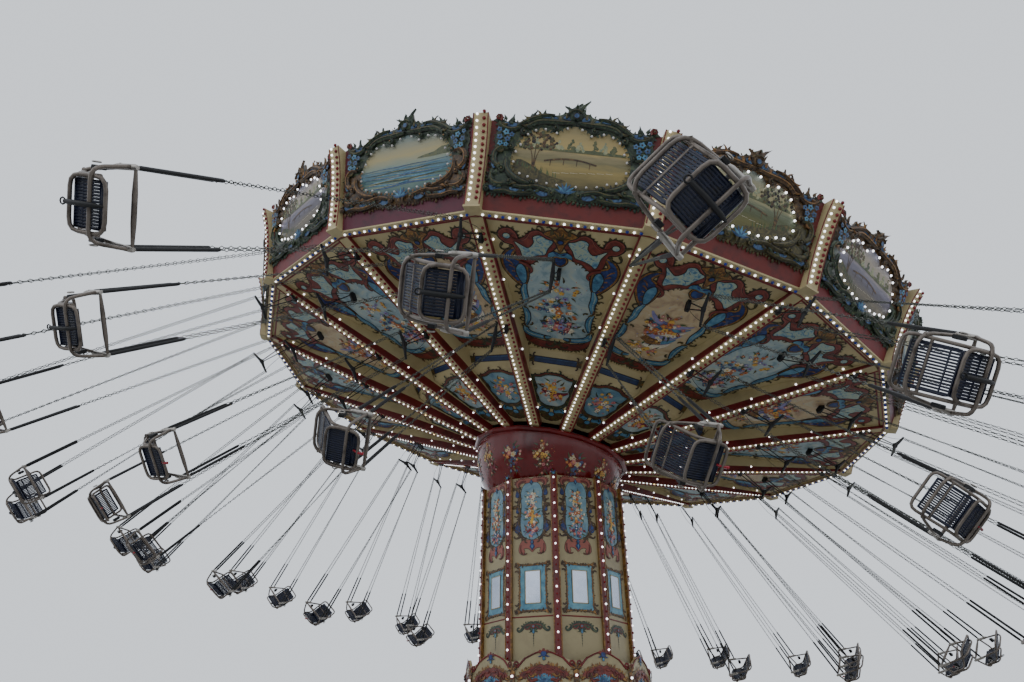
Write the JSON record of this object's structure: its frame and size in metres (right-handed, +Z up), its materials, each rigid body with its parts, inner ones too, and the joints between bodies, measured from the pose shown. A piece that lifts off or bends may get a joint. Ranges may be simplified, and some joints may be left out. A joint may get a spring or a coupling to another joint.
{
  "type": "chair swing ride",
  "caption": "Fairground chair swing ride: a scalloped base drum, a tower that rises and turns, and a tilted spinning canopy with rings of chairs on chains.",
  "frame": {"origin": "middle of the foundation's underside, on the ground and on the tower's axis", "axes": "+Z up; +X the side to which the canopy leans down; the chairs fly counter-clockwise seen from above"},
  "size_m": [20.3288, 20.5766, 10.8538],
  "materials": {
    "dark_steel": "satin",
    "dark_red_paint": "gloss",
    "cream_paint": "satin",
    "steel_grey": "satin",
    "tower_cream": "satin",
    "tower_trim": "gloss",
    "sphere_enamel": "gloss",
    "collar_red": "gloss",
    "ceiling_cream": "satin",
    "board_ground": "satin",
    "board_cream": "satin",
    "roof_sheet": "matte",
    "chair_steel": "satin",
    "seat_plastic": "satin",
    "black_sleeve": "satin",
    "safety_wire": "satin",
    "rib_cream": "satin",
    "rib_red": "satin",
    "gold_paint": "satin",
    "blue_paint": "satin",
    "light_blue_paint": "satin",
    "green_paint": "satin",
    "red_brown_paint": "satin",
    "painted_panel": "satin",
    "bulb_white": "gloss",
    "bulb_red": "gloss",
    "bulb_blue": "gloss",
    "bulb_amber": "gloss",
    "mirror_glass": "gloss",
    "handle_red": "gloss"
  },
  "bodies": {
    "base": {"foundation": "dark_steel", "base_plinth": "dark_red_paint", "base_drum": "cream_paint", "guide_mast": "steel_grey"},
    "lift": {"lift_carriage": "steel_grey"},
    "tower": {"tower_head": "dark_steel", "tower_panels": "tower_cream", "tower_pillars": "tower_trim", "tilt_spindle": "dark_steel"},
    "canopy": {"canopy_hub": "dark_steel", "centre_sphere": "sphere_enamel", "sphere_collar": "collar_red", "inner_ceiling": "ceiling_cream", "outer_ceiling": "ceiling_cream", "rim_fascia": "ceiling_cream", "rounding_boards": "board_ground", "corner_pillars": "board_cream", "roof_deck": "roof_sheet", "roof_cap": "roof_sheet", "rib_01_with_chairs": "chair_steel", "rib_02_with_chairs": "chair_steel", "rib_03_with_chairs": "chair_steel", "rib_04_with_chairs": "chair_steel", "rib_05_with_chairs": "chair_steel", "rib_06_with_chairs": "chair_steel", "rib_07_with_chairs": "chair_steel", "rib_08_with_chairs": "chair_steel", "rib_09_with_chairs": "chair_steel", "rib_10_with_chairs": "chair_steel", "rib_11_with_chairs": "chair_steel", "rib_12_with_chairs": "chair_steel", "rib_13_with_chairs": "chair_steel", "rib_14_with_chairs": "chair_steel", "rib_15_with_chairs": "chair_steel", "rib_16_with_chairs": "chair_steel", "bay_chair_01": "chair_steel", "bay_chair_02": "chair_steel", "bay_chair_03": "chair_steel", "bay_chair_04": "chair_steel", "bay_chair_05": "chair_steel", "bay_chair_06": "chair_steel", "bay_chair_07": "chair_steel", "bay_chair_08": "chair_steel", "bay_chair_09": "chair_steel", "bay_chair_10": "chair_steel", "bay_chair_11": "chair_steel", "bay_chair_12": "chair_steel", "bay_chair_13": "chair_steel", "bay_chair_14": "chair_steel", "bay_chair_15": "chair_steel", "bay_chair_16": "chair_steel"}
  },
  "joints": [
    {"name": "lift_slide", "type": "slide", "parent": "base", "child": "lift", "axis": [0, 0, 1], "range_m": [-1.9, 0]},
    {"name": "tower_turn", "type": "hinge", "parent": "lift", "child": "tower", "pos_m": [0, 0, 5.2], "axis": [0, 0, 1], "continuous": true},
    {"name": "canopy_spin", "type": "hinge", "parent": "tower", "child": "canopy", "pos_m": [0, 0, 6.87], "axis": [0.1908, 0, 0.9816], "continuous": true}
  ]
}
